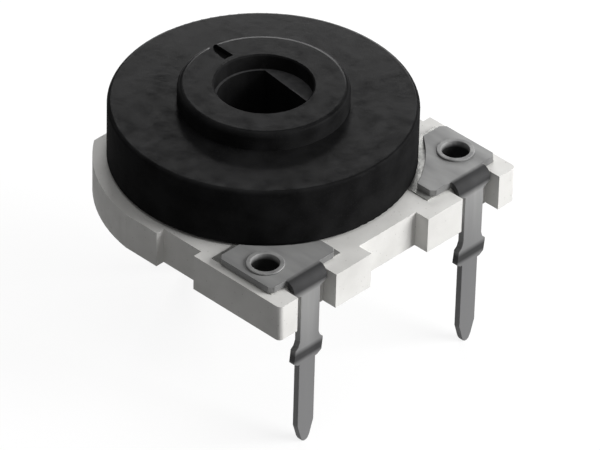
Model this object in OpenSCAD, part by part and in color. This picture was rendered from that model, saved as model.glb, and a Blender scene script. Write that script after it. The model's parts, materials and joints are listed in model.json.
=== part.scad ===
// Open-frame trimmer potentiometer, horizontal board mounting, 20 mm rotor.
// The origin is on the rotor axis, in the plane of the circuit board on which the terminals' shoulders seat.
// +Z points away from the board. The two track terminals are at -Y and the wiper terminal is at +Y.

/* [Rotor] */
// Height of the rotor disc from its rim's lower edge to its top face
rotor_h = 4.15; // [3.8:0.05:4.6]
// Gap between the ceramic's top face and the rotor's rim
rotor_lift = 0.15; // [0.15:0.05:0.5]
// Radius of the raised hub
hub_r = 5.55; // [5:0.05:6]
// Height of the hub above the disc
hub_h = 1.3; // [1.2:0.05:2]
// Thickness of the disc's top wall
rotor_wall = 1.7; // [1.3:0.1:1.9]
// Thickness of the skirt round the hollow underside
skirt_t = 1; // [0.8:0.05:1.1]
// Wall of the hollow shaft that runs through the base
boss_wall = 0.95; // [0.8:0.05:1.1]
// Radius round the top edge of the disc
disc_edge_r = 0.25; // [0.15:0.05:0.7]
// Radius round the top edge of the hub
hub_edge_r = 0.4; // [0.2:0.05:0.6]
// Radius round the rim's lower edge
rim_edge_r = 0.12; // [0.08:0.02:0.3]
// Turn of the rotor from the middle of its travel in degrees, as it rests
rest_turn = -7; // [-60:1:60]

/* [Shaft socket] */
// Diameter of the flatted socket for the adjusting shaft
socket_d = 6.05; // [6:0.05:6.2]
// How much wider the round mouth is than the flatted socket below it, on the radius
mouth_step = 0.175; // [0.16:0.005:0.3]
// Depth of the round mouth
mouth_depth = 1.1; // [0.8:0.1:1.3]
// Distance of the flat from the rotor axis
flat_offset = 1.95; // [1.7:0.05:2.4]
// Chamfer round the mouth of the socket
mouth_chamfer = 0.1; // [0.05:0.05:0.3]

/* [Pointer] */
// Width of the pointer groove at its inner end
pointer_w_in = 0.8; // [0.4:0.05:1]
// Width of the pointer groove at the hub's edge
pointer_w_out = 0.48; // [0.2:0.02:0.6]
// Wall left between the pointer groove and the socket's chamfer
pointer_gap = 0.35; // [0.2:0.05:1]
// Depth of the pointer groove
pointer_depth = 0.35; // [0.1:0.05:0.6]

/* [Stops] */
// Half angle of the stop block on the ceramic
stop_half_angle = 26; // [20:1:30]
// Half angle of the rib inside the rotor that meets the stop block
rib_half_angle = 23.5; // [18:0.5:26]
// Radial thickness of the stop block
stop_t = 0.6; // [0.4:0.05:0.8]
// Height of the stop block above the ceramic
stop_h = 1.3; // [1:0.05:1.4]
// Gap in degrees between the stop faces at each end of the travel
stop_clear_angle = 0.5; // [0.3:0.1:1]

/* [Ceramic base] */
// Height of the ceramic's underside above the board
standoff = 3.6; // [3.3:0.1:5]
// Thickness of the ceramic
base_t = 2.6; // [2.2:0.1:3.4]
// How far the round flank reaches past the rotor
flank_margin = 0.9; // [0.8:0.05:1.3]
// How far the straight sides reach past the rotor
side_margin = 0.8; // [0.6:0.05:0.8]
// How far the front edge reaches past the rotor
front_margin = 2.2; // [1.9:0.1:3]
// How far the rotor overhangs the flat rear edge
rear_cut = 1.35; // [0.8:0.05:1.6]
// Radius of the front corners
corner_r = 0.35; // [0.2:0.05:0.8]
// Depth of the three notches in the front edge
front_notch_depth = 1.1; // [0.8:0.05:1.3]
// Width of the notch between the terminals
centre_notch_w = 5.2; // [4:0.1:6]
// Depth of the shallow recess in each side
side_recess_depth = 0.65; // [0.3:0.05:0.7]
// Length of the recess in each side
side_recess_l = 3.3; // [2.5:0.1:4]
// Distance from the rotor axis to the nearer end of the side recess
side_recess_y = 1.3; // [1:0.1:2]
// Depth of the seat for the wiper terminal in the underside
seat_depth = 0.2; // [0.1:0.05:0.4]

/* [Printed tracks] */
// Thickness of the printed layers as modelled
film_t = 0.08; // [0.05:0.01:0.12]
// Gap between the collector flange and the resistive track
track_in_gap = 0.825; // [0.5:0.025:1.2]
// Gap between the resistive track and the stop block
track_out_gap = 0.35; // [0.3:0.05:0.6]
// Width of the resistive track
track_w = 1.6; // [1.2:0.1:1.7]
// Angle by which the track runs on past the wiper's travel at each end
track_over_angle = 8; // [6:1:9]
// Width of the conductor between the track's end and the terminal
conductor_w = 1.5; // [1:0.1:1.6]

/* [Terminals] */
// Thickness of the terminals' sheet metal
sheet_t = 0.45; // [0.4:0.01:0.5]
// Distance of each track pin's centre line from the ceramic's side
pin_side = 3.3; // [3:0.05:3.6]
// Distance of the wiper pin's middle outwards from its ring
wiper_reach = 0.75; // [0.65:0.05:1.2]
// Width of the pins
pin_w = 1.45; // [1:0.05:1.55]
// Length of the pins below the board plane
pin_l = 6.4; // [4:0.1:8]
// Length of the taper at a pin's tip
tip_l = 1.4; // [0.8:0.1:1.8]
// Width of the flat at the end of a pin
tip_w = 0.5; // [0.3:0.05:0.8]
// Width of the strip where a terminal bends
bend_w = 3; // [2.6:0.1:3.2]
// Inner radius of the terminals' bends
bend_r = 0.3; // [0.2:0.02:0.36]
// Width of the leg below the bend
neck_w = 1.7; // [1.6:0.05:2]
// Width of the shoulders that seat on the board
shoulder_w = 2.5; // [2.4:0.02:3]
// Height of the shoulders
shoulder_h = 1.35; // [0.9:0.05:1.4]
// Distance by which a track pin is set in from its leg
crank = 0.12; // [0.06:0.02:0.4]
// Height above the board at which the crank starts
crank_z = 1.25; // [1.2:0.05:1.5]
// Distance of a plate's outer edge from the ceramic's side
plate_edge = 0.5; // [0.3:0.05:0.55]
// Distance from the pin's centre line to the plate's inner edge
plate_in = 3.1; // [2.4:0.1:3.2]
// Reach of a plate behind the centre of its eyelet
plate_behind = 2.6; // [2.2:0.05:2.7]
// Gap between the rotor and the edge of a plate that curves round it
plate_gap = 0.45; // [0.35:0.05:0.6]

/* [Eyelets] */
// Radius of the hole through an eyelet
eyelet_hole_r = 0.92; // [0.7:0.02:0.96]
// Wall of an eyelet
eyelet_wall = 0.12; // [0.1:0.01:0.15]
// Width of an eyelet's flanges outside its wall
eyelet_flange_w = 0.2; // [0.15:0.01:0.3]
// Thickness of an eyelet's flanges
eyelet_flange_t = 0.14; // [0.1:0.02:0.2]
// Distance of an eyelet outwards from the pin's centre line
eyelet_out = 1.2; // [0.9:0.05:1.3]
// Distance of an eyelet from the ceramic's front edge
eyelet_in = 3.4; // [3.2:0.05:3.7]

/* [Bearing] */
// Wall of the metal bush in which the rotor turns
bush_wall = 0.35; // [0.25:0.05:0.4]
// Width of the bush's top flange, the ring on which the wiper's inner contact runs
collector_w = 1.1; // [1:0.05:1.15]
// Thickness of the bush's flanges
bush_flange_t = 0.3; // [0.2:0.02:0.36]
// Width of the rolled flange at the bush's lower end
roll_w = 0.7; // [0.5:0.05:0.9]
// Width of the wiper terminal's ring
ring_w = 1.4; // [1.1:0.05:1.6]
// Height of the conical spring washer
washer_h = 0.3; // [0.25:0.01:0.36]
// Thickness of the spring washer's sheet
washer_t = 0.15; // [0.1:0.01:0.2]
// Width of the spring washer
washer_w = 1; // [0.8:0.05:1.1]
// Thickness of the retaining ring
clip_t = 0.5; // [0.4:0.02:0.6]
// Width of the retaining ring outside its groove
clip_w = 1.1; // [0.9:0.05:1.3]
// Depth of the groove that holds the retaining ring
groove_depth = 0.4; // [0.3:0.02:0.45]
// Length of the hollow shaft below the retaining ring
boss_end = 0.6; // [0.4:0.05:0.8]

/* [Wiper] */
// Thickness of the wiper's spring sheet
spring_t = 0.2; // [0.14:0.01:0.22]
// Width of each contact arm
arm_w = 0.65; // [0.5:0.05:0.7]
// Distance from the pointer's line to the fold of the arms
fold_x = 2.8; // [2.6:0.1:3]
// Inner radius of the fold
fold_r = 0.25; // [0.2:0.01:0.3]
// Length of the fixed leaf past the pointer's line
leaf_over = 2.4; // [1.6:0.1:2.4]
// Radius of the pressed contact domes
dome_r = 0.3; // [0.25:0.01:0.32]
// Radius of the two moulded rivets that hold the leaf
stake_r = 0.4; // [0.3:0.02:0.42]
// Distance of the rivets from the pointer's line
stake_x = 1.7; // [1.5:0.05:1.8]

/* [Clearances] */
// Radial gap of holes round eyelets, bush and rivets
hole_clear = 0.05; // [0.03:0.01:0.06]
// Radial running fit of the hollow shaft in its bush
run_clear = 0.05; // [0.03:0.01:0.08]
// Gap between a terminal's leg and the ceramic's notch
leg_gap = 0.1; // [0.08:0.01:0.15]
// Gap at each side of a bend inside its notch
bend_side_gap = 0.22; // [0.1:0.02:0.4]
// Gap under the contact domes and above the spring washer
contact_gap = 0.05; // [0.03:0.01:0.06]
// Gap between the rotor's inner ribs and what passes them
rib_gap = 0.15; // [0.1:0.01:0.2]

/* [Hidden] */
$fn = 96;
// Overlap that lets one cut pass cleanly through a face
eps = 0.02;

// Heights
base_top = standoff + base_t;
film_top = base_top + film_t;
plate_top = film_top + sheet_t;
rotor_z = base_top + rotor_lift;
disc_top = rotor_z + rotor_h;
hub_top = disc_top + hub_h;
ceiling_z = disc_top - rotor_wall;
collector_z = base_top + bush_flange_t;
seat_z = standoff + seat_depth;
ring_z = seat_z - sheet_t;
roll_z = ring_z - bush_flange_t;
washer_z = roll_z - contact_gap;
clip_z = washer_z - washer_h - clip_t;
boss_z = clip_z - boss_end;

// Radii about the rotor axis, from the socket outwards
socket_r = socket_d / 2;
mouth_r = socket_r + mouth_step;
pointer_in_y = mouth_r + mouth_chamfer + pointer_gap;
boss_r = socket_r + boss_wall;
bush_in_r = boss_r + run_clear;
bush_r = bush_in_r + bush_wall;
bush_hole_r = bush_r + hole_clear;
collector_r = bush_r + collector_w;
// Radius of the inner contact's path, in the middle of the collector flange
collector_mid_r = (bush_in_r + collector_r) / 2;
track_in_r = collector_r + track_in_gap;
track_mid_r = track_in_r + track_w / 2;
track_out_r = track_in_r + track_w;
stop_in_r = track_out_r + track_out_gap;
stop_out_r = stop_in_r + stop_t;
rib_in_r = stop_in_r - 0.05;
skirt_in_r = stop_out_r + rib_gap;
rotor_r = skirt_in_r + skirt_t;

// Angles from the middle of the track
travel_angle = 360 - 2 * (stop_half_angle + rib_half_angle + stop_clear_angle);
track_half_angle = travel_angle / 2 + track_over_angle;

// Plan of the ceramic
flank_r = rotor_r + flank_margin;
half_w = rotor_r + side_margin;
front_y = rotor_r + front_margin;
rear_y = rotor_r - rear_cut;
pin_x = half_w - pin_side;
slot_w = bend_w + 2 * bend_side_gap;
notch_y = front_y - front_notch_depth;

// Terminal legs, with Y counted from the rotor axis towards the front
leg_back_y = notch_y + leg_gap;
leg_front_y = leg_back_y + sheet_t;
bend_y = leg_back_y - bend_r;
bend_z = film_top - bend_r;
pin_front_y = leg_front_y - crank;
pin_line_y = pin_front_y - sheet_t / 2;
wiper_pin_y = bush_r + ring_w + wiper_reach;
eyelet_x = pin_x + eyelet_out;
eyelet_y = front_y - eyelet_in;
eyelet_r = eyelet_hole_r + eyelet_wall;
eyelet_flange_r = eyelet_r + eyelet_flange_w;
plate_rear_y = eyelet_y - plate_behind;

// Colours as the object shows them
ceramic_colour = [0.9, 0.89, 0.86];
tin_colour = [0.66, 0.67, 0.68];
rotor_colour = [0.1, 0.1, 0.11];
spring_colour = [0.74, 0.62, 0.38];

// Outline of a sector that covers the angles from a to b, clockwise from +Y.
module wedge(r, a, b) {
    steps = 12;
    polygon(concat([[0, 0]],
        [for (i = [0 : steps]) let (t = a + (b - a) * i / steps) [r * sin(t), r * cos(t)]]));
}

// Flat ring between two radii.
module ring(r_in, r_out) {
    difference() {
        circle(r = r_out);
        circle(r = r_in);
    }
}

// Arc of a ring between the angles a and b, clockwise from +Y.
module ring_arc(r_in, r_out, a, b) {
    intersection() {
        ring(r_in, r_out);
        wedge(2 * r_out, a, b);
    }
}

// Rectangle from (x0, y0) to (x1, y1) with all four corners rounded.
module round_rect(x0, y0, x1, y1, r) {
    translate([x0 + r, y0])
        square([x1 - x0 - 2 * r, y1 - y0]);
    translate([x0, y0 + r])
        square([x1 - x0, y1 - y0 - 2 * r]);
    for (x = [x0 + r, x1 - r], y = [y0 + r, y1 - r])
        translate([x, y])
            circle(r = r, $fn = 32);
}

// The two copies of what stands left and right of the rotor axis.
module both_sides() {
    children();
    mirror([1, 0, 0])
        children();
}

// Plan of the ceramic with its castellated front edge.
module base_plan() {
    difference() {
        intersection() {
            union() {
                circle(r = flank_r);
                round_rect(-half_w, -front_y, half_w, -side_recess_y, corner_r);
            }
            translate([-half_w, -front_y - 1])
                square([2 * half_w, front_y + 1 + rear_y]);
        }
        translate([-centre_notch_w / 2, -front_y - 1])
            square([centre_notch_w, 1 + front_notch_depth]);
        both_sides() {
            translate([pin_x - slot_w / 2, -front_y - 1])
                square([slot_w, 1 + front_notch_depth]);
            translate([half_w - side_recess_depth, -side_recess_y - side_recess_l])
                square([side_recess_depth + 1, side_recess_l]);
            translate([eyelet_x, -eyelet_y])
                circle(r = eyelet_r + hole_clear, $fn = 48);
        }
        circle(r = bush_hole_r);
    }
}

// Shallow seat for the wiper terminal, seen from below.
module seat_plan() {
    circle(r = bush_r + ring_w + hole_clear);
    translate([-bend_w / 2 - hole_clear, 0])
        square([bend_w + 2 * hole_clear, rear_y + 1]);
}

module ceramic_base() {
    color(ceramic_colour)
    difference() {
        union() {
            translate([0, 0, standoff])
                linear_extrude(base_t)
                    base_plan();
            translate([0, 0, base_top - eps])
                linear_extrude(stop_h + eps)
                    ring_arc(stop_in_r, stop_out_r, 180 - stop_half_angle, 180 + stop_half_angle);
        }
        translate([0, 0, standoff - eps])
            linear_extrude(seat_depth + eps)
                seat_plan();
        // Bevel on the edge round which each terminal bends
        both_sides()
            translate([pin_x - slot_w / 2, -notch_y, base_top])
                rotate([45, 0, 0])
                    translate([0, -bend_r / 2, -bend_r / 2])
                        cube([slot_w, bend_r, bend_r]);
    }
}

module track_plan() {
    ring_arc(track_in_r, track_out_r, -track_half_angle, track_half_angle);
}

module resistive_track() {
    color([0.16, 0.15, 0.15])
    translate([0, 0, base_top])
        linear_extrude(film_t)
            track_plan();
}

// Printed silver between the track's right end and the right terminal.
module pad_plan() {
    end_x = track_mid_r * sin(track_half_angle);
    end_y = -track_mid_r * cos(track_half_angle);
    edge = plate_edge + 0.1;
    difference() {
        union() {
            ring_arc(track_in_r, track_out_r, track_half_angle, track_half_angle + conductor_w / track_mid_r * 57.3);
            translate([end_x - conductor_w / 2, -bend_y + 0.1])
                square([conductor_w, bend_y - end_y - 0.1]);
            translate([pin_x - plate_in + 0.2, -bend_y + 0.1])
                square([half_w - edge - pin_x + plate_in - 0.2, bend_y - plate_rear_y + 0.5]);
        }
        track_plan();
        ring_arc(stop_in_r - rib_gap, stop_out_r + rib_gap, 180 - stop_half_angle - 1, 180 + stop_half_angle + 1);
        translate([eyelet_x, -eyelet_y])
            circle(r = eyelet_r + hole_clear, $fn = 48);
    }
}

module end_pad() {
    color([0.6, 0.6, 0.58])
    translate([0, 0, base_top])
        linear_extrude(film_t)
            pad_plan();
}

module right_end_pad() {
    end_pad();
}

module left_end_pad() {
    mirror([1, 0, 0])
        end_pad();
}

// Side view of a bent strip: a flat top that ends at the bend, a leg, a crank and a pin.
// The first coordinate runs outwards to the front, the second upwards.
module strip_profile(flat_from, y_bend, z_bend, set_in, z_crank) {
    y_back = y_bend + bend_r;
    y_front = y_back + sheet_t;
    outer = bend_r + sheet_t;
    translate([flat_from, z_bend + bend_r])
        square([y_bend - flat_from + eps, sheet_t]);
    intersection() {
        translate([y_bend, z_bend])
            difference() {
                circle(r = outer, $fn = 48);
                circle(r = bend_r, $fn = 48);
            }
        translate([y_bend, z_bend])
            square(outer);
    }
    translate([y_back, z_crank])
        square([sheet_t, z_bend - z_crank + eps]);
    polygon([
        [y_back, z_crank + eps], [y_front, z_crank + eps], [y_front, z_crank],
        [y_front - set_in, 0], [y_front - set_in, -eps],
        [y_back - set_in, -eps], [y_back - set_in, 0], [y_back, z_crank]
    ]);
    translate([y_back - set_in, -pin_l])
        square([sheet_t, pin_l]);
}

// Front view of a terminal's leg about its centre line: bend, neck, shoulders and pointed pin.
module leg_outline(z_top, z_bend) {
    step = (bend_w - neck_w) / 4;
    neck_z = z_bend - bend_r / 2;
    flare_z = min(shoulder_h + 0.6, neck_z - step - 0.2);
    half = [
        [bend_w / 2, z_top], [bend_w / 2, neck_z], [neck_w / 2, neck_z - step],
        [neck_w / 2, flare_z], [neck_w / 2 + 0.15, shoulder_h + 0.2],
        [shoulder_w / 2, shoulder_h], [shoulder_w / 2, 0.3],
        [pin_w / 2 + 0.12, 0], [pin_w / 2, 0],
        [pin_w / 2, tip_l - pin_l], [tip_w / 2 + 0.15, 0.35 - pin_l],
        [tip_w / 2, 0.08 - pin_l], [tip_w / 4, -pin_l]
    ];
    n = len(half);
    polygon(concat(half, [for (i = [1 : n]) [-half[n - i][0], half[n - i][1]]]));
}

// Strip profile cut to the leg's front view, facing the front.
module bent_leg(flat_from, y_bend, z_bend, set_in, z_crank) {
    intersection() {
        rotate([90, 0, -90])
            linear_extrude(bend_w + 1, center = true)
                strip_profile(flat_from, y_bend, z_bend, set_in, z_crank);
        rotate([90, 0, 0])
            linear_extrude(2 * front_y + 10, center = true)
                leg_outline(z_bend + bend_r + sheet_t, z_bend);
    }
}

// Plate of a track terminal, with its rear edge curved round the rotor.
module plate_plan() {
    x0 = pin_x - plate_in;
    x1 = half_w - plate_edge;
    c = 0.3;
    difference() {
        polygon([
            [x0 + c, -bend_y], [x1 - c, -bend_y], [x1, -bend_y + c],
            [x1, -plate_rear_y - c], [x1 - c, -plate_rear_y],
            [x0, -plate_rear_y], [x0, -bend_y + c]
        ]);
        circle(r = rotor_r + plate_gap);
        translate([eyelet_x, -eyelet_y])
            circle(r = eyelet_r + hole_clear, $fn = 48);
    }
}

module track_terminal() {
    color(tin_colour) {
        translate([0, 0, film_top])
            linear_extrude(sheet_t)
                plate_plan();
        translate([pin_x, 0, 0])
            bent_leg(bend_y - 0.3, bend_y, bend_z, crank, crank_z);
    }
}

module right_terminal() {
    track_terminal();
}

module left_terminal() {
    mirror([1, 0, 0])
        track_terminal();
}

// Half section of a flange with a rounded outer edge, its lower face at z = 0.
module flange_section(r_in, r_out, t) {
    r = t / 2;
    translate([r_in, 0])
        square([r_out - r_in - r, t]);
    translate([r_out - r, r])
        circle(r = r, $fn = 24);
}

module eyelet() {
    color(tin_colour)
    translate([eyelet_x, -eyelet_y, 0])
        rotate_extrude($fn = 48) {
            translate([0, plate_top])
                flange_section(eyelet_hole_r, eyelet_flange_r, eyelet_flange_t);
            translate([eyelet_hole_r, standoff - eyelet_flange_t])
                square([eyelet_wall, plate_top - standoff + 2 * eyelet_flange_t]);
            translate([0, standoff - eyelet_flange_t])
                flange_section(eyelet_hole_r, eyelet_flange_r, eyelet_flange_t);
        }
}

module right_eyelet() {
    eyelet();
}

module left_eyelet() {
    mirror([1, 0, 0])
        eyelet();
}

module collector_bush() {
    color([0.72, 0.7, 0.62])
    rotate_extrude() {
        translate([0, base_top])
            flange_section(bush_in_r, collector_r, bush_flange_t);
        translate([bush_in_r, roll_z])
            square([bush_wall, collector_z - roll_z]);
        translate([0, roll_z])
            flange_section(bush_in_r, bush_r + roll_w, bush_flange_t);
    }
}

module wiper_terminal() {
    y_bend = wiper_pin_y + sheet_t / 2 - sheet_t - bend_r;
    color(tin_colour)
    difference() {
        union() {
            translate([0, 0, ring_z])
                linear_extrude(sheet_t)
                    circle(r = bush_r + ring_w);
            mirror([0, 1, 0])
                bent_leg(0, y_bend, ring_z - bend_r, 0, shoulder_h / 2);
        }
        translate([0, 0, ring_z - 1])
            cylinder(r = bush_hole_r, h = sheet_t + 2);
    }
}

// Half section of the rotor as moulded, before the socket is cut.
module rotor_section() {
    // Skirt and disc
    translate([skirt_in_r, rotor_z])
        square([skirt_t - rim_edge_r, rotor_h - disc_edge_r]);
    translate([skirt_in_r, rotor_z + rim_edge_r])
        square([skirt_t, rotor_h - rim_edge_r - disc_edge_r]);
    translate([rotor_r - rim_edge_r, rotor_z + rim_edge_r])
        circle(r = rim_edge_r, $fn = 24);
    translate([rotor_r - disc_edge_r, disc_top - disc_edge_r])
        circle(r = disc_edge_r, $fn = 48);
    translate([0, ceiling_z])
        square([rotor_r - disc_edge_r, rotor_wall]);
    // Hub
    translate([0, disc_top - eps])
        square([hub_r, hub_h - hub_edge_r + eps]);
    translate([0, disc_top])
        square([hub_r - hub_edge_r, hub_h]);
    translate([hub_r - hub_edge_r, hub_top - hub_edge_r])
        circle(r = hub_edge_r, $fn = 48);
    // Hollow shaft with the groove for the retaining ring
    difference() {
        translate([0, boss_z])
            square([boss_r, ceiling_z - boss_z + eps]);
        translate([boss_r - groove_depth, clip_z - 0.03])
            square([1, clip_t + 0.06]);
    }
}

// Plan of the socket below its round mouth.
module flat_socket_plan() {
    intersection() {
        circle(r = socket_r);
        translate([-2 * socket_r, -2 * socket_r])
            square([2 * socket_r + flat_offset, 4 * socket_r]);
    }
}

// Middle of the fixed leaf of the wiper, where its two rivets stand.
function stake_y() = (leaf_in_y + leaf_out_y) / 2;
leaf_in_y = collector_mid_r - arm_w / 2;
leaf_out_y = track_mid_r + arm_w / 2;

module rotor_disc() {
    color(rotor_colour)
    rotate([0, 0, rest_turn]) {
        difference() {
            union() {
                rotate_extrude()
                    rotor_section();
                // Rib that meets the ceramic's stop block
                translate([0, 0, base_top + stop_h / 2])
                    linear_extrude(ceiling_z - base_top - stop_h / 2 + eps)
                        ring_arc(rib_in_r, skirt_in_r + 0.1, -rib_half_angle, rib_half_angle);
            }
            translate([0, 0, boss_z - 1])
                linear_extrude(hub_top - boss_z + 2)
                    flat_socket_plan();
            translate([0, 0, hub_top - mouth_depth])
                cylinder(r = mouth_r, h = mouth_depth + 1);
            translate([0, 0, hub_top - mouth_chamfer])
                cylinder(r1 = mouth_r, r2 = mouth_r + 2 * mouth_chamfer, h = 2 * mouth_chamfer);
            // Pointer groove
            translate([0, 0, hub_top - pointer_depth])
                linear_extrude(pointer_depth + 1)
                    polygon([
                        [-pointer_w_in / 2, pointer_in_y],
                        [pointer_w_in / 2, pointer_in_y],
                        [pointer_w_out / 2, hub_r + eps],
                        [-pointer_w_out / 2, hub_r + eps]
                    ]);
        }
        // Moulded rivets of the wiper
        for (x = [-stake_x, stake_x])
            translate([x, stake_y(), 0]) {
                translate([0, 0, ceiling_z - spring_t])
                    cylinder(r = stake_r, h = spring_t + eps, $fn = 32);
                translate([0, 0, ceiling_z - 2 * spring_t])
                    cylinder(r = stake_r + 0.2, h = spring_t, $fn = 32);
            }
    }
}

// Side view of one folded contact arm, down to its contact at height z.
module arm_profile(z) {
    mid = z + contact_gap + dome_r;
    fold_z = ceiling_z - spring_t - fold_r;
    t = spring_t / 2;
    intersection() {
        translate([-fold_x, fold_z])
            difference() {
                circle(r = fold_r + spring_t, $fn = 32);
                circle(r = fold_r, $fn = 32);
            }
        translate([-fold_x - 1, fold_z - 1])
            square([1, 2]);
    }
    polygon([
        [-fold_x - eps, fold_z - fold_r], [-fold_x - eps, fold_z - fold_r - spring_t],
        [-fold_x, fold_z - fold_r - spring_t], [-dome_r, mid - t], [dome_r + 0.1, mid - t],
        [dome_r + 0.1, mid + t], [-dome_r, mid + t], [-fold_x, fold_z - fold_r]
    ]);
}

// One contact arm with its pressed dome, centred on the radius r.
module contact_arm(r, z) {
    translate([0, r, 0]) {
        rotate([90, 0, 0])
            linear_extrude(arm_w, center = true)
                arm_profile(z);
        translate([0, 0, z + contact_gap + dome_r])
            sphere(r = dome_r, $fn = 24);
    }
}

module wiper_spring() {
    color(spring_colour)
    rotate([0, 0, rest_turn]) {
        difference() {
            translate([-fold_x - eps, leaf_in_y, ceiling_z - spring_t])
                cube([fold_x + leaf_over, leaf_out_y - leaf_in_y, spring_t]);
            for (x = [-stake_x, stake_x])
                translate([x, stake_y(), ceiling_z - spring_t - 1])
                    cylinder(r = stake_r + hole_clear, h = spring_t + 2, $fn = 32);
        }
        contact_arm(track_mid_r, film_top);
        contact_arm(collector_mid_r, collector_z);
    }
}

// Conical washer, with its outer edge up against the bush.
module spring_washer() {
    r0 = bush_in_r;
    r1 = r0 + washer_w;
    z0 = clip_z + clip_t;
    color([0.6, 0.6, 0.6])
    rotate_extrude()
        polygon([
            [r0, z0], [r0 + 0.1, z0], [r1, washer_z - washer_t],
            [r1, washer_z], [r1 - 0.1, washer_z], [r0, z0 + washer_t]
        ]);
}

module retaining_ring() {
    r_in = boss_r - groove_depth + 0.02;
    color([0.45, 0.45, 0.46])
    translate([0, 0, clip_z])
        linear_extrude(clip_t)
            difference() {
                ring(r_in, boss_r + clip_w);
                wedge(2 * boss_r, 200, 250);
            }
}

ceramic_base();
resistive_track();
left_end_pad();
right_end_pad();
left_terminal();
right_terminal();
left_eyelet();
right_eyelet();
collector_bush();
wiper_terminal();
rotor_disc();
wiper_spring();
spring_washer();
retaining_ring();
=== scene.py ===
"""Studio picture of an open-frame trimmer potentiometer that stands on its three pins."""

import json
import logging
import math
from dataclasses import dataclass, field
from enum import Enum
from typing import Protocol

import bpy
from mathutils import Matrix, Vector

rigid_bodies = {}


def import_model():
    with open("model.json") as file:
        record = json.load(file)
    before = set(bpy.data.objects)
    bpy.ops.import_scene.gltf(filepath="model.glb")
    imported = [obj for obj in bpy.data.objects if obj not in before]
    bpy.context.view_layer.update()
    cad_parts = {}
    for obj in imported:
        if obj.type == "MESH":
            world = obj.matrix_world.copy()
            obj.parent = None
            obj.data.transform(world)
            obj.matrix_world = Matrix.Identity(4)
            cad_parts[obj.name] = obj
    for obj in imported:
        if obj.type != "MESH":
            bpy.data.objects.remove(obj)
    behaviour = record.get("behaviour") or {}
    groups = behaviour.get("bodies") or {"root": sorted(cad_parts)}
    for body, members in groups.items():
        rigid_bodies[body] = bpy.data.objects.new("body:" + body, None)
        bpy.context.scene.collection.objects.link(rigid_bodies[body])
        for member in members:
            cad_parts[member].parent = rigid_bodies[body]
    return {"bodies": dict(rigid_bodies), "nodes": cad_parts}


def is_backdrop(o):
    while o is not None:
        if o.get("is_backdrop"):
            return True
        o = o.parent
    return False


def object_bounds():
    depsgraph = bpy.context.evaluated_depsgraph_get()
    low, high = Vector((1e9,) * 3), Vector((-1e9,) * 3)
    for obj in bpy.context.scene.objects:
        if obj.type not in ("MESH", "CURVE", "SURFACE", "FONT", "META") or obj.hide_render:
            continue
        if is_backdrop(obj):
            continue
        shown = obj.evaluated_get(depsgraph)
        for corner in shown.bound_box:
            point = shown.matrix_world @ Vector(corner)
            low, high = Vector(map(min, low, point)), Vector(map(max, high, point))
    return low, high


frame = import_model()

Colour = tuple[float, float, float]
Triple = tuple[float, float, float]
Span = tuple[float, float]
Edges = tuple[float, float, float, float]
Socket = bpy.types.NodeSocket
Material = bpy.types.Material

MM = 0.001
MICRON = 0.000001
OPAQUE = 1.0
WHITE: Colour = (1.0, 1.0, 1.0)
RISING: Span = (0.0, 1.0)
FALLING: Span = (1.0, 0.0)
COMMON_NOISE: Span = (0.3, 0.7)
LOG = logging.getLogger("trimmer")


class Side(Enum):
    """Which of the two mirrored halves of the front a piece belongs to."""

    LEFT = "left"
    RIGHT = "right"


class Grain(Enum):
    """Direction in which a surface is drawn out, as scales of its texture along X, Y and Z."""

    EVEN = (1.0, 1.0, 1.0)
    ALONG_Y = (1.0, 0.12, 1.0)
    ALONG_LEG = (1.0, 0.3, 0.1)


@dataclass(frozen=True)
class Patches:
    """Soft patches of noise.

    Attributes:
        size_mm: Size of a patch.
        layers: Number of finer layers.
        seed: Offset that makes two sets of patches differ.
        grain: Direction in which the patches are drawn out.
    """

    size_mm: float
    layers: float = 3.0
    seed: float = 0.0
    grain: Grain = Grain.EVEN


@dataclass(frozen=True)
class Tones:
    """Two tones that run into each other over soft patches.

    Attributes:
        dark: The darker tone.
        light: The lighter tone.
        patches: Where the tones lie.
        turn: Noise at which the darker tone ends and at which the lighter one is reached.
    """

    dark: Colour
    light: Colour
    patches: Patches
    turn: Span = COMMON_NOISE


@dataclass(frozen=True)
class Specks:
    """Small scattered specks of another colour.

    Attributes:
        colour: Colour of the specks.
        apart_mm: How far they lie apart.
        edge: Where a speck starts to fade and where it ends, as shares of that distance.
        strength: How much of the colour shows in the middle of a speck.
    """

    colour: Colour
    apart_mm: float
    edge: Span
    strength: float


@dataclass(frozen=True)
class Bumps:
    """Relief of soft patches.

    Attributes:
        patches: Where the bumps lie.
        depth_um: How deep they are, in micrometres.
    """

    patches: Patches
    depth_um: float


@dataclass(frozen=True)
class Satin:
    """Roughness that varies over soft patches.

    Attributes:
        patches: Where it varies.
        span: Roughness at the low and at the high end of the noise.
        turn: Noise at which each of the two is reached.
    """

    patches: Patches
    span: Span
    turn: Span = COMMON_NOISE


class NodeBoard:
    """Node tree of one material, with the steps that all materials share."""

    def __init__(self, name: str) -> None:
        """Starts a material.

        Args:
            name: Name of the material.
        """
        self.material = bpy.data.materials.new(name)
        self.material.use_nodes = True
        self.nodes = self.material.node_tree.nodes
        self.links = self.material.node_tree.links

    def calculated(self, operation: str, first: Socket, second: Socket | float) -> Socket:
        """Result of one calculation.

        Args:
            operation: What is calculated, such as MULTIPLY.
            first: A value.
            second: Another value, or a number that is the same everywhere.

        Returns:
            The result.
        """
        node = self.nodes.new("ShaderNodeMath")
        node.operation = operation
        self.links.new(first, node.inputs[0])
        if isinstance(second, float):
            node.inputs[1].default_value = second
        else:
            self.links.new(second, node.inputs[1])
        return node.outputs[0]

    def product(self, first: Socket, second: Socket | float) -> Socket:
        """Where both of two shares apply."""
        return self.calculated("MULTIPLY", first, second)

    def either(self, first: Socket, second: Socket) -> Socket:
        """Where one of two shares applies."""
        return self.calculated("MAXIMUM", first, second)


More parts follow.
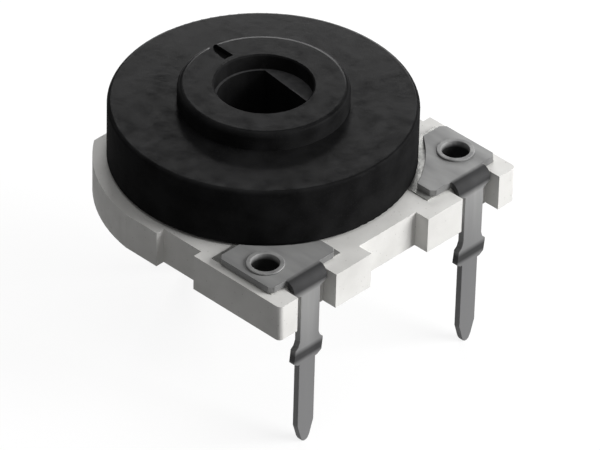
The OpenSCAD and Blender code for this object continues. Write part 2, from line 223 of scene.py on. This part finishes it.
class Recipe(NodeBoard):
    """Node tree of one finish, with short calls for the steps that the finishes share."""

    WAVE_RADIANS = 20.0  # how far the wave texture turns over one unit at scale 1
    RING_WANDER = 1.5
    RING_LAYERS = 1.0
    BUMP_STRENGTH = 1.0
    USUAL_GLOSS = 0.5

    def __init__(self, name: str) -> None:
        """Starts a material with its principled shader.

        Args:
            name: Name of the material.
        """
        super().__init__(name)
        self.shader = self.nodes["Principled BSDF"]
        where = self.nodes.new("ShaderNodeTexCoord")
        self.place = where.outputs["Object"]
        self.direction = where.outputs["Normal"]

    def part_of(self, vector: Socket, axis: str) -> Socket:
        """One of the three numbers of a vector.

        Args:
            vector: The vector.
            axis: X, Y or Z.

        Returns:
            The number along that axis.
        """
        split = self.nodes.new("ShaderNodeSeparateXYZ")
        self.links.new(vector, split.inputs[0])
        return split.outputs[axis]

    def upright(self) -> Socket:
        """How far a face looks up or down.

        Returns:
            1 for level faces and 0 for walls.
        """
        size = self.nodes.new("ShaderNodeMath")
        size.operation = "ABSOLUTE"
        self.links.new(self.part_of(self.direction, "Z"), size.inputs[0])
        return size.outputs[0]

    def cloud(self, patches: Patches) -> Socket:
        """Soft noise.

        Args:
            patches: Its size, layers, seed and grain.

        Returns:
            The noise, from 0 to 1 and mostly near a half.
        """
        mapping = self.nodes.new("ShaderNodeMapping")
        mapping.inputs["Scale"].default_value = patches.grain.value
        self.links.new(self.place, mapping.inputs["Vector"])
        noise = self.nodes.new("ShaderNodeTexNoise")
        noise.noise_dimensions = "4D"
        noise.inputs["Scale"].default_value = 1.0 / (patches.size_mm * MM)
        noise.inputs["Detail"].default_value = patches.layers
        noise.inputs["W"].default_value = patches.seed
        self.links.new(mapping.outputs["Vector"], noise.inputs["Vector"])
        return noise.outputs["Fac"]

    def from_nearest_point(self, apart_mm: float) -> Socket:
        """Distance from the nearest of many scattered points.

        Args:
            apart_mm: How far the points lie apart.

        Returns:
            The distance, as a share of that size.
        """
        cells = self.nodes.new("ShaderNodeTexVoronoi")
        cells.inputs["Scale"].default_value = 1.0 / (apart_mm * MM)
        self.links.new(self.place, cells.inputs["Vector"])
        return cells.outputs["Distance"]

    def rings(self, fineness_mm: float) -> Socket:
        """Fine rings about the rotor axis, as a lathe leaves them.

        Args:
            fineness_mm: Distance from ring to ring, divided by two pi.

        Returns:
            Height of the rings, from 0 to 1.
        """
        wave = self.nodes.new("ShaderNodeTexWave")
        wave.wave_type = "RINGS"
        wave.rings_direction = "Z"
        wave.inputs["Scale"].default_value = 1.0 / (self.WAVE_RADIANS * fineness_mm * MM)
        wave.inputs["Distortion"].default_value = self.RING_WANDER
        wave.inputs["Detail"].default_value = self.RING_LAYERS
        self.links.new(self.place, wave.inputs["Vector"])
        return wave.outputs["Fac"]

    def moved(self, value: Socket, old: Span, new: Span) -> Socket:
        """A value moved from one range to another and kept inside it.

        Args:
            value: What is moved.
            old: Start and end of its own range.
            new: What these two become.

        Returns:
            The moved value.
        """
        node = self.nodes.new("ShaderNodeMapRange")
        for slot, number in zip(("From Min", "From Max", "To Min", "To Max"), (*old, *new)):
            node.inputs[slot].default_value = number
        self.links.new(value, node.inputs["Value"])
        return node.outputs["Result"]

    def band(self, axis: str, edges_mm: Edges) -> Socket:
        """Share of a soft-edged band across one axis of the part.

        Args:
            axis: X, Y or Z.
            edges_mm: Where the band starts, is full, is still full and has ended.

        Returns:
            1 inside the band and 0 outside.
        """
        along = self.part_of(self.place, axis)
        start, full, still_full, end = (edge * MM for edge in edges_mm)
        rise = self.moved(along, (start, full), RISING)
        fall = self.moved(along, (still_full, end), FALLING)
        return self.product(rise, fall)

    def tinted(self, value: Socket, dark: Colour, light: Colour, turn: Span) -> Socket:
        """Colour that runs from dark to light with a value.

        Args:
            value: What it runs with.
            dark: Colour at low values.
            light: Colour at high values.
            turn: Value at which the dark colour ends and at which the light one is reached.

        Returns:
            The colour.
        """
        ramp = self.nodes.new("ShaderNodeValToRGB")
        for stop, place, colour in zip(ramp.color_ramp.elements, turn, (dark, light)):
            stop.position = place
            stop.color = (*colour, OPAQUE)
        self.links.new(value, ramp.inputs["Fac"])
        return ramp.outputs["Color"]

    def toned(self, tones: Tones) -> Socket:
        """Colour of two tones over their patches."""
        return self.tinted(self.cloud(tones.patches), tones.dark, tones.light, tones.turn)

    def blended(self, share: Socket, first: Socket, second: Colour) -> Socket:
        """Two colours mixed by a share.

        Args:
            share: How much of the second colour shows.
            first: Colour at 0.
            second: Colour at 1.

        Returns:
            The mixed colour.
        """
        mix = self.nodes.new("ShaderNodeMix")
        mix.data_type = "RGBA"
        colours = {socket.name: socket for socket in mix.inputs if socket.type == "RGBA"}
        self.links.new(share, mix.inputs["Factor"])
        self.links.new(first, colours["A"])
        colours["B"].default_value = (*second, OPAQUE)
        return next(socket for socket in mix.outputs if socket.type == "RGBA")

    def speckled(self, body: Socket, specks: Specks) -> Socket:
        """A colour with specks on it.

        Args:
            body: The colour.
            specks: The specks.

        Returns:
            The speckled colour.
        """
        fading = (specks.strength, 0.0)
        share = self.moved(self.from_nearest_point(specks.apart_mm), specks.edge, fading)
        return self.blended(share, body, specks.colour)

    def satin(self, satin: Satin) -> Socket:
        """Roughness over its patches."""
        return self.moved(self.cloud(satin.patches), satin.turn, satin.span)

    def bumps(self, bumps: Bumps) -> tuple[Socket, float]:
        """Height and depth of one layer of relief."""
        return self.cloud(bumps.patches), bumps.depth_um

    def relief(self, *layers: tuple[Socket, float]) -> None:
        """Lays one or more layers of relief on each other.

        Args:
            layers: Height, and depth in micrometres, of each layer.
        """
        normal = None
        for height, depth_um in layers:
            bump = self.nodes.new("ShaderNodeBump")
            bump.inputs["Strength"].default_value = self.BUMP_STRENGTH
            bump.inputs["Distance"].default_value = depth_um * MICRON
            self.links.new(height, bump.inputs["Height"])
            if normal is not None:
                self.links.new(normal, bump.inputs["Normal"])
            normal = bump.outputs["Normal"]
        self.links.new(normal, self.shader.inputs["Normal"])

    def finish(
        self,
        colour: Socket,
        roughness: Socket,
        metallic: float = 0.0,
        gloss: float = USUAL_GLOSS,
    ) -> Material:
        """Joins the looks to the shader.

        Args:
            colour: Base colour.
            roughness: Roughness over the surface.
            metallic: 1 for bare metal.
            gloss: Specular level of what isn't metal.

        Returns:
            The finished material.
        """
        self.links.new(colour, self.shader.inputs["Base Color"])
        self.links.new(roughness, self.shader.inputs["Roughness"])
        self.shader.inputs["Metallic"].default_value = metallic
        self.shader.inputs["Specular IOR Level"].default_value = gloss
        return self.material


class Finish(Protocol):
    """What is asked of every finish."""

    @property
    def name(self) -> str:
        """Name of its material."""

    def material(self) -> Material:
        """Builds its material."""


@dataclass(frozen=True)
class PressedCeramic:
    """White steatite, dry pressed and fired, with a fine dull grain and small pits."""

    name: str = "pressed_ceramic"
    tones: Tones = Tones(
        dark=(0.73, 0.722, 0.698),
        light=(0.82, 0.812, 0.788),
        patches=Patches(2.6, layers=4.0),
        turn=(0.35, 0.62),
    )
    pits: Specks = Specks((0.42, 0.4, 0.37), apart_mm=0.42, edge=(0.05, 0.13), strength=0.55)
    grain: Bumps = Bumps(Patches(0.09, layers=2.0), depth_um=3.0)
    waviness: Bumps = Bumps(Patches(0.7, layers=2.0, seed=3.0), depth_um=10.0)
    satin: Satin = Satin(Patches(0.5, layers=2.0, seed=1.0), span=(0.55, 0.72))
    gloss: float = 0.4

    def material(self) -> Material:
        """Builds the material.

        Returns:
            The white ceramic.
        """
        r = Recipe(self.name)
        colour = r.speckled(r.toned(self.tones), self.pits)
        r.relief(r.bumps(self.grain), r.bumps(self.waviness))
        return r.finish(colour, r.satin(self.satin), gloss=self.gloss)


@dataclass(frozen=True)
class BlackMoulding:
    """Black filled moulding compound, satin on top, matt on its walls and with painted light on
    the ledge.

    Attributes:
        name: Name of the material.
        tones: Colour of the compound.
        filler: Pale grains of filler in it.
        painted_ledge_light: Colour of the painted light on the level face of the ledge in the
            socket.
        painted_light_patches: Where the painted light is stronger and weaker.
        painted_light_turn: Noise at which the painted light is weakest and strongest.
        painted_light_shares: How much of the painted light's colour shows at these two.
        ledge_z_mm: Height of the ledge.
        ledge_tilt: How level a face is where the painted light starts and where it is full.
        grain: Fine relief.
        waviness: Wide relief.
        satin: Roughness of level faces.
        wall_tilt: How level a face is where the walls' roughness starts to fade and is gone.
        wall_roughness: Roughness of the walls.
        gloss: Specular level.
    """

    name: str = "black_moulding"
    tones: Tones = Tones(
        dark=(0.0065, 0.0065, 0.0067),
        light=(0.0135, 0.0135, 0.0139),
        patches=Patches(1.6, layers=5.0, seed=2.0),
        turn=(0.35, 0.65),
    )
    filler: Specks = Specks((0.02, 0.02, 0.02), apart_mm=0.16, edge=(0.1, 0.3), strength=0.5)
    # painted light: a lighter colour laid on the ledge's level face in the socket
    painted_ledge_light: Colour = (0.075, 0.075, 0.077)
    painted_light_patches: Patches = Patches(0.5, seed=9.0)
    painted_light_turn: Span = (0.3, 0.6)
    painted_light_shares: Span = (0.6, 1.0)
    ledge_z_mm: Edges = (10.6, 10.66, 10.74, 10.8)
    ledge_tilt: Span = (0.9, 0.98)
    grain: Bumps = Bumps(Patches(0.06, layers=2.0), depth_um=1.4)
    waviness: Bumps = Bumps(Patches(0.45, seed=5.0), depth_um=4.5)
    satin: Satin = Satin(Patches(0.9, layers=4.0, seed=7.0), span=(0.16, 0.27), turn=(0.32, 0.68))
    wall_tilt: Span = (0.55, 0.97)
    wall_roughness: float = 0.92
    gloss: float = 0.045

    def material(self) -> Material:
        """Builds the material.

        Returns:
            The black moulding.
        """
        r = Recipe(self.name)
        body = r.speckled(r.toned(self.tones), self.filler)
        level = r.moved(r.upright(), self.ledge_tilt, RISING)
        # painted light on the ledge's level face, in patches
        ledge = r.product(r.band("Z", self.ledge_z_mm), level)
        patchiness = r.moved(r.cloud(self.painted_light_patches), self.painted_light_turn, self.painted_light_shares)
        colour = r.blended(r.product(ledge, patchiness), body, self.painted_ledge_light)
        r.relief(r.bumps(self.grain), r.bumps(self.waviness))
        walls = r.moved(r.upright(), self.wall_tilt, (self.wall_roughness, 0.0))
        return r.finish(colour, r.either(r.satin(self.satin), walls), gloss=self.gloss)


@dataclass(frozen=True)
class DullTin:
    """Rolled sheet metal with a dull, mottled coat of tin.

    Attributes:
        name: Name of the material.
        dull: Colour of the duller patches.
        bright: Colour of the brighter patches.
        painted_shade: Colour of painted shade, which the kinds of tin below lay on.
        mottle: Where the patches lie.
        grain: Fine relief.
        waviness: Wide relief.
        roughness: Roughness of the duller and of the brighter patches.
        metallic: How far it looks like bare metal.
    """

    name: str
    dull: Colour = (0.235, 0.235, 0.235)
    bright: Colour = (0.38, 0.38, 0.376)
    # painted shade: the dark colour that BentTin and EyeletTin lay on
    painted_shade: Colour = (0.034, 0.034, 0.035)
    mottle: Patches = Patches(1.5, seed=4.0)
    grain: Bumps = Bumps(Patches(0.05, layers=2.0), depth_um=0.8)
    waviness: Bumps = Bumps(Patches(0.6, layers=2.0, seed=8.0), depth_um=3.0)
    roughness: Span = (0.8, 0.64)
    metallic: float = 0.35

    def colour(self, r: Recipe, mottle: Socket) -> Socket:
        """Mottled tin."""
        return r.tinted(mottle, self.dull, self.bright, COMMON_NOISE)

    def material(self) -> Material:
        """Builds the material.

        Returns:
            The dull tin.
        """
        r = Recipe(self.name)
        mottle = r.cloud(self.mottle)
        r.relief(r.bumps(self.grain), r.bumps(self.waviness))
        rough = r.moved(mottle, COMMON_NOISE, self.roughness)
        return r.finish(self.colour(r, mottle), rough, metallic=self.metallic)


@dataclass(frozen=True)
class BentTin(DullTin):
    """Dull tin with painted shade where the sheet is bent and cranked, and darker pins as painted
    shade.

    Attributes:
        pin_shade: Colour of the pins, darker than the tin as painted shade.
        pin_shade_z_mm: Height over which the pins have this painted shade.
        bend_y_mm: Where the painted shade at the bend lies from front to back.
        bend_z_mm: Height of the painted shade at the bend.
        crank_z_mm: Height of the painted shade at the crank.
    """

    name: str = "dull_tin"
    mottle: Patches = Patches(1.5, seed=4.0, grain=Grain.ALONG_LEG)
    grain: Bumps = Bumps(Patches(0.05, layers=2.0, grain=Grain.ALONG_LEG), depth_um=0.8)
    # painted shade: a darker copy of the tin for the pins
    pin_shade: Colour = (0.2, 0.2, 0.202)
    pin_shade_z_mm: Edges = (-9.0, -8.0, 0.0, 5.5)
    # painted shade: dark bands across the bend and the crank
    bend_y_mm: Edges = (-11.9, -11.7, -11.1, -10.8)
    bend_z_mm: Edges = (5.5, 6.0, 8.0, 9.0)
    crank_z_mm: Edges = (0.2, 0.55, 0.95, 1.4)

    def colour(self, r: Recipe, mottle: Socket) -> Socket:
        """Mottled tin with its bands of painted shade.

        Args:
            r: Recipe that it goes into.
            mottle: Noise of the patches.

        Returns:
            The colour.
        """
        # painted shade: the pins get the darker copy of the tin
        tin = r.blended(r.band("Z", self.pin_shade_z_mm), super().colour(r, mottle), self.pin_shade)
        bend = r.product(r.band("Y", self.bend_y_mm), r.band("Z", self.bend_z_mm))
        # painted shade: dark bands across the bend and the crank
        return r.blended(r.either(bend, r.band("Z", self.crank_z_mm)), tin, self.painted_shade)


@dataclass(frozen=True)
class EyeletTin(DullTin):
    """Dull tin with painted shade in the middle of the bore.

    Attributes:
        dark_z_mm: Height over which the bore has painted shade.
    """

    name: str = "eyelet_tin"
    # painted shade: near-black for the inside of the bore
    painted_shade: Colour = (0.01, 0.01, 0.01)
    mottle: Patches = Patches(0.7, seed=4.0)
    dark_z_mm: Edges = (3.7, 4.3, 6.4, 6.7)

    def colour(self, r: Recipe, mottle: Socket) -> Socket:
        """Mottled tin with painted shade in its bore."""
        # painted shade laid on the bore
        return r.blended(r.band("Z", self.dark_z_mm), super().colour(r, mottle), self.painted_shade)


@dataclass(frozen=True)
class PrintedFilm:
    """Screen-printed and fired film.

    Attributes:
        name: Name of the material.
        dark: Darker tone.
        light: Lighter tone.
        metallic: How far it looks like bare metal.
        roughness: Its roughness between its smoother and its rougher patches.
        smoother: How much smoother it gets.
        rougher: How much rougher it gets.
        flow: Where the tones lie.
        turn: Noise at which the darker tone ends and at which the lighter one is reached.
        patchiness: Where it is smoother and rougher.
        grain: Fine relief.
        mesh_marks: Relief that the printing screen leaves.
    """

    name: str
    dark: Colour
    light: Colour
    metallic: float
    roughness: float
    smoother: float = 0.06
    rougher: float = 0.08
    flow: Patches = Patches(0.3, layers=4.0)
    turn: Span = (0.35, 0.65)
    patchiness: Patches = Patches(0.4, layers=2.0, seed=3.0)
    grain: Bumps = Bumps(Patches(0.07, layers=2.0, seed=1.0), depth_um=2.0)
    mesh_marks: Bumps = Bumps(Patches(0.25, layers=1.0, seed=2.0), depth_um=4.0)

    def material(self) -> Material:
        """Builds the material.

        Returns:
            The fired film.
        """
        r = Recipe(self.name)
        colour = r.toned(Tones(self.dark, self.light, self.flow, self.turn))
        r.relief(r.bumps(self.grain), r.bumps(self.mesh_marks))
        span = (self.roughness - self.smoother, self.roughness + self.rougher)
        return r.finish(colour, r.satin(Satin(self.patchiness, span)), metallic=self.metallic)


@dataclass(frozen=True)
class BareMetal:
    """Bare metal of two close tones.

    Attributes:
        name: Name of the material.
        dark: Darker tone.
        light: Lighter tone.
    """

    name: str
    dark: Colour
    light: Colour


@dataclass(frozen=True)
class TurnedMetal(BareMetal):
    """Turned or stamped bearing metal with fine rings about the rotor axis.

    Attributes:
        fineness_mm: Distance from ring to ring, divided by two pi.
        ring_depth_um: Depth of the rings.
        flow: Where the tones lie.
        dents: Wide relief.
        satin: Roughness.
    """

    fineness_mm: float = 0.07
    ring_depth_um: float = 1.5
    flow: Patches = Patches(0.8)
    dents: Bumps = Bumps(Patches(0.3, layers=2.0, seed=6.0), depth_um=1.5)
    satin: Satin = Satin(Patches(0.5, seed=2.0), span=(0.26, 0.4))

    def material(self) -> Material:
        """Builds the material.

        Returns:
            The turned metal.
        """
        r = Recipe(self.name)
        colour = r.toned(Tones(self.dark, self.light, self.flow))
        r.relief((r.rings(self.fineness_mm), self.ring_depth_um), r.bumps(self.dents))
        return r.finish(colour, r.satin(self.satin), metallic=1.0)


@dataclass(frozen=True)
class RolledSpring(BareMetal):
    """Rolled spring sheet with fine streaks along its length.

    Attributes:
        flow: Where the tones lie.
        streaks: Fine relief along the sheet.
        satin: Roughness.
    """

    flow: Patches = Patches(0.6)
    streaks: Bumps = Bumps(Patches(0.04, layers=2.0, grain=Grain.ALONG_Y), depth_um=1.0)
    satin: Satin = Satin(Patches(0.4, layers=2.0, seed=2.0), span=(0.24, 0.36))

    def material(self) -> Material:
        """Builds the material.

        Returns:
            The spring metal.
        """
        r = Recipe(self.name)
        colour = r.toned(Tones(self.dark, self.light, self.flow))
        r.relief(r.bumps(self.streaks))
        return r.finish(colour, r.satin(self.satin), metallic=1.0)


@dataclass
class Dresser:
    """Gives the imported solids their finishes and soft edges.

    Attributes:
        facets: Number of facets across a rounded edge.
        sharpest: Angle in degrees from which an edge is rounded.
        weld_gap: Distance in metres within which corners are joined.
        made: Materials that are made already, by name.
    """

    facets: int = 2
    sharpest: float = 40.0
    weld_gap: float = MICRON
    made: dict[str, Material] = field(default_factory=dict)

    def paint(self, node: str, finish: Finish) -> bpy.types.Object:
        """Puts a finish on a solid.

        Args:
            node: Name of the solid.
            finish: The finish, made once and then shared.

        Returns:
            The solid's object.
        """
        solid = frame["nodes"][node]
        if finish.name not in self.made:
            self.made[finish.name] = finish.material()
        for place in solid.material_slots:
            place.material = self.made[finish.name]
        LOG.info("%s has the finish %s", node, finish.name)
        return solid

    def soften(self, solid: bpy.types.Object, width_mm: float, narrowed: bool = True) -> None:
        """Rounds the sharp edges of a solid a little.

        Args:
            solid: The solid's object.
            width_mm: Width of the rounding.
            narrowed: Is the rounding made narrower where the mesh is fine?
        """
        weld = solid.modifiers.new("joined_corners", "WELD")
        weld.merge_threshold = self.weld_gap
        bevel = solid.modifiers.new("soft_edges", "BEVEL")
        bevel.width = width_mm * MM
        bevel.segments = self.facets
        bevel.limit_method = "ANGLE"
        bevel.angle_limit = math.radians(self.sharpest)
        bevel.harden_normals = True
        bevel.use_clamp_overlap = narrowed


@dataclass
class Substrate:
    """Ceramic with its printed track and end pads.

    Attributes:
        edge_mm: Rounding of the ceramic's edges.
        ceramic: Finish of the ceramic.
        ink: Finish of the track.
        silver: Finish of the end pads.
    """

    edge_mm: float = 0.1
    ceramic: PressedCeramic = PressedCeramic()
    ink: PrintedFilm = PrintedFilm(
        "resistive_ink",
        dark=(0.02, 0.019, 0.018),
        light=(0.035, 0.033, 0.032),
        metallic=0.0,
        roughness=0.45,
    )
    silver: PrintedFilm = PrintedFilm(
        "printed_silver",
        dark=(0.34, 0.34, 0.33),
        light=(0.5, 0.5, 0.48),
        metallic=0.7,
        roughness=0.5,
    )

    def dress(self, dresser: Dresser) -> None:
        """Finishes the ceramic and what is printed on it.

        Args:
            dresser: What puts the finishes on.
        """
        base = dresser.paint("ceramic_base", self.ceramic)
        dresser.soften(base, self.edge_mm)
        dresser.paint("resistive_track", self.ink)
        for side in Side:
            dresser.paint(f"{side.value}_end_pad", self.silver)


@dataclass
class Terminals:
    """Three bent sheet-metal terminals and the two eyelets that hold the track terminals.

    Attributes:
        edge_mm: Rounding of the terminals' edges.
        flange_edge_mm: Rounding of the eyelets' edges.
        sheet_tin: Finish of the terminals.
        eyelet_tin: Finish of the eyelets.
    """

    edge_mm: float = 0.04
    flange_edge_mm: float = 0.06
    sheet_tin: BentTin = BentTin()
    eyelet_tin: EyeletTin = EyeletTin()

    def dress(self, dresser: Dresser) -> None:
        """Finishes the terminals and eyelets.

        Args:
            dresser: What puts the finishes on.
        """
        for node in ("left_terminal", "right_terminal", "wiper_terminal"):
            sheet = dresser.paint(node, self.sheet_tin)
            dresser.soften(sheet, self.edge_mm, narrowed=False)
        for side in Side:
            eyelet = dresser.paint(f"{side.value}_eyelet", self.eyelet_tin)
            dresser.soften(eyelet, self.flange_edge_mm)


@dataclass
class Bearing:
    """Bush, spring washer and retaining ring in which the rotor turns.

    Attributes:
        edge_mm: Rounding of the retaining ring's edges.
        plated: Finish of the bush.
        steel: Finish of the washer and the ring.
    """

    edge_mm: float = 0.03
    plated: TurnedMetal = TurnedMetal("plated_bush", (0.45, 0.43, 0.38), (0.6, 0.58, 0.52))
    steel: TurnedMetal = TurnedMetal(
        "spring_steel",
        dark=(0.26, 0.26, 0.27),
        light=(0.38, 0.38, 0.39),
        fineness_mm=0.1,
    )

    def dress(self, dresser: Dresser) -> None:
        """Finishes the bearing's metal pieces.

        Args:
            dresser: What puts the finishes on.
        """
        dresser.paint("collector_bush", self.plated)
        dresser.paint("spring_washer", self.steel)
        ring = dresser.paint("retaining_ring", self.steel)
        dresser.soften(ring, self.edge_mm)


@dataclass
class Rotor:
    """Moulded disc with its hub and the wiper that it carries.

    Attributes:
        edge_mm: Rounding of the moulding's edges.
        moulding: Finish of the disc.
        bronze: Finish of the wiper.
    """

    edge_mm: float = 0.06
    moulding: BlackMoulding = BlackMoulding()
    bronze: RolledSpring = RolledSpring("spring_bronze", (0.5, 0.36, 0.17), (0.62, 0.47, 0.24))

    def dress(self, dresser: Dresser) -> None:
        """Finishes the moulding and the wiper.

        Args:
            dresser: What puts the finishes on.
        """
        disc = dresser.paint("rotor_disc", self.moulding)
        dresser.soften(disc, self.edge_mm)
        dresser.paint("wiper_spring", self.bronze)


def way_to(azimuth: float, elevation: float) -> Vector:
    """Way from the object to a place round it.

    Args:
        azimuth: Degrees from the front towards the right.
        elevation: Degrees above level.

    Returns:
        The way, one metre long.
    """
    a, e = math.radians(azimuth), math.radians(elevation)
    return Vector((math.sin(a) * math.cos(e), -math.cos(a) * math.cos(e), math.sin(e)))


@dataclass(frozen=True)
class SoftBox:
    """Square studio lamp that faces the object.

    Attributes:
        name: Name of the lamp.
        azimuth: Degrees from the front towards the right.
        elevation: Degrees above level.
        distance: Metres from the object.
        size: Width in metres.
        radiance: How bright its face is.
    """

    name: str
    azimuth: float
    elevation: float
    distance: float
    size: float
    radiance: float

    def build(self, target: Vector) -> None:
        """Makes the lamp.

        Args:
            target: Point that it faces.
        """
        way = way_to(self.azimuth, self.elevation)
        light = bpy.data.lights.new(self.name, "AREA")
        light.shape = "SQUARE"
        light.size = self.size
        light.energy = self.radiance * math.pi * self.size ** 2
        lamp = bpy.data.objects.new(self.name, light)
        lamp.location = target + way * self.distance
        lamp.rotation_euler = way.to_track_quat("Z", "Y").to_euler()
        bpy.context.scene.collection.objects.link(lamp)
        LOG.info("lamp %s", self.name)


@dataclass
class Studio:
    """Pale floor, soft lamps and dim surroundings.

    Attributes:
        floor_half: Half the width of the floor in metres.
        floor_grey: How much light the floor gives back.
        floor_glow: Light that is added to the floor where it is seen.
        room: Strength of the dim room.
        target: Point that the lamps face.
        lamps: The lamps.
    """

    floor_half: float = 3.0
    floor_grey: float = 0.22
    floor_glow: float = 0.84
    room: float = 0.17
    target: Triple = (0.0, 0.0, 0.006)
    lamps: tuple[SoftBox, ...] = (
        SoftBox("back_box", 131.0, 21.0, distance=0.19, size=0.085, radiance=6.6),
        SoftBox("front_box", 34.0, 21.0, distance=0.5, size=0.34, radiance=8.5),
        SoftBox("top_box", 60.0, 84.0, distance=0.5, size=0.4, radiance=1.1),
    )

    def seen(self, board: NodeBoard) -> Socket:
        """Is this ray one by which the background shows, directly or in metal and glass?

        Args:
            board: Node tree that it goes into.

        Returns:
            1 for such a ray and 0 for any other.
        """
        path = board.nodes.new("ShaderNodeLightPath")
        seen = path.outputs["Is Camera Ray"]
        for name in ("Is Glossy Ray", "Is Transmission Ray"):
            seen = board.either(seen, path.outputs[name])
        return seen

    def floor_material(self) -> Material:
        """Matt pale paper that shows as white and keeps the object's shadow.

        Returns:
            The floor's material.
        """
        board = NodeBoard("floor_paper")
        board.nodes.clear()
        grey = self.floor_grey
        paper = board.nodes.new("ShaderNodeBsdfDiffuse")
        paper.inputs["Color"].default_value = (grey, grey, grey, OPAQUE)
        glow = board.nodes.new("ShaderNodeEmission")
        strength = board.product(self.seen(board), self.floor_glow)
        board.links.new(strength, glow.inputs["Strength"])
        both = board.nodes.new("ShaderNodeAddShader")
        board.links.new(paper.outputs[0], both.inputs[0])
        board.links.new(glow.outputs[0], both.inputs[1])
        surface = board.nodes.new("ShaderNodeOutputMaterial").inputs["Surface"]
        board.links.new(both.outputs[0], surface)
        return board.material

    def floor(self, height: float) -> None:
        """Makes the floor.

        Args:
            height: Where it lies.
        """
        h = self.floor_half
        mesh = bpy.data.meshes.new("floor")
        mesh.from_pydata([(-h, -h, 0), (h, -h, 0), (h, h, 0), (-h, h, 0)], [], [(0, 1, 2, 3)])
        mesh.materials.append(self.floor_material())
        floor = bpy.data.objects.new("floor", mesh)
        floor.location.z = height
        bpy.context.scene.collection.objects.link(floor)
        floor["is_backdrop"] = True
        LOG.info("floor")

    def surroundings(self) -> None:
        """Makes the dim even room."""
        world = bpy.data.worlds.new("room")
        bpy.context.scene.world = world
        world.use_nodes = True
        background = world.node_tree.nodes["Background"]
        background.inputs["Color"].default_value = (*WHITE, OPAQUE)
        background.inputs["Strength"].default_value = self.room

    def build(self, floor_height: float) -> None:
        """Sets up floor, room and lamps.

        Args:
            floor_height: Where the floor lies.
        """
        self.floor(floor_height)
        self.surroundings()
        for lamp in self.lamps:
            lamp.build(Vector(self.target))


@dataclass(frozen=True)
class PhotoCamera:
    """Camera at the photograph's angle, fitted to the disc, the hub and the ceramic.

    Attributes:
        azimuth: Degrees from the front towards the right.
        elevation: Degrees above level.
        roll: Degrees by which it is turned about its own axis.
        distance: Metres from the point that it faces.
        focal_px: Focal length in pixels of the picture.
        frame_px: Width of the picture in pixels.
        sensor_mm: Width of the sensor.
        nearest: Metres from the camera at which it starts to see.
        furthest: Metres from the camera up to which it sees.
        target: Middle of the object.
        right_of_target: Metres by which it faces to the right of that.
        above_target: Metres by which it faces above that.
    """

    azimuth: float = -46.67
    elevation: float = 36.455
    roll: float = -1.6
    distance: float = 0.4
    focal_px: float = 6237.8
    frame_px: float = 600.0
    sensor_mm: float = 36.0
    nearest: float = 0.01
    furthest: float = 20.0
    target: Triple = (0.0, 0.0, 0.0062)
    right_of_target: float = 0.0024143
    above_target: float = -0.0044913

    def build(self) -> None:
        """Makes the camera and lets the scene use it."""
        a, r = math.radians(self.azimuth), math.radians(self.roll)
        back = way_to(self.azimuth, self.elevation)
        right = Vector((math.cos(a), math.sin(a), 0.0))
        up = back.cross(right)
        x_axis = right * math.cos(r) - up * math.sin(r)
        y_axis = right * math.sin(r) + up * math.cos(r)
        aim = Vector(self.target) + x_axis * self.right_of_target + y_axis * self.above_target
        lens = bpy.data.cameras.new("photo_camera")
        lens.sensor_width = self.sensor_mm
        lens.lens = self.focal_px / self.frame_px * self.sensor_mm
        lens.clip_start = self.nearest
        lens.clip_end = self.furthest
        camera = bpy.data.objects.new("photo_camera", lens)
        turned = Matrix((x_axis, y_axis, back)).transposed().to_4x4()
        camera.matrix_world = Matrix.Translation(aim + back * self.distance) @ turned
        bpy.context.scene.collection.objects.link(camera)
        bpy.context.scene.camera = camera
        LOG.info("camera")


def clear_strays() -> None:
    """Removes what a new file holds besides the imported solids."""
    kept = set(frame["nodes"].values()) | set(frame["bodies"].values())
    for stray in [o for o in bpy.data.objects if o not in kept]:
        bpy.data.objects.remove(stray)


def corners() -> list[list[float]]:
    """Lowest and highest corner of the whole object."""
    return [[float(v) for v in corner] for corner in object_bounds()]


def main() -> None:
    """Dresses each sub-assembly in order and sets up the studio."""
    logging.basicConfig(level=logging.INFO, format="%(name)s: %(message)s")
    clear_strays()
    cad_box = corners()
    PhotoCamera().build()
    dresser = Dresser()
    for part in (Substrate(), Terminals(), Bearing(), Rotor()):
        part.dress(dresser)
    Studio().build(cad_box[0][2])
    bpy.context.scene.view_settings.view_transform = "Standard"


if __name__ == "__main__":
    main()
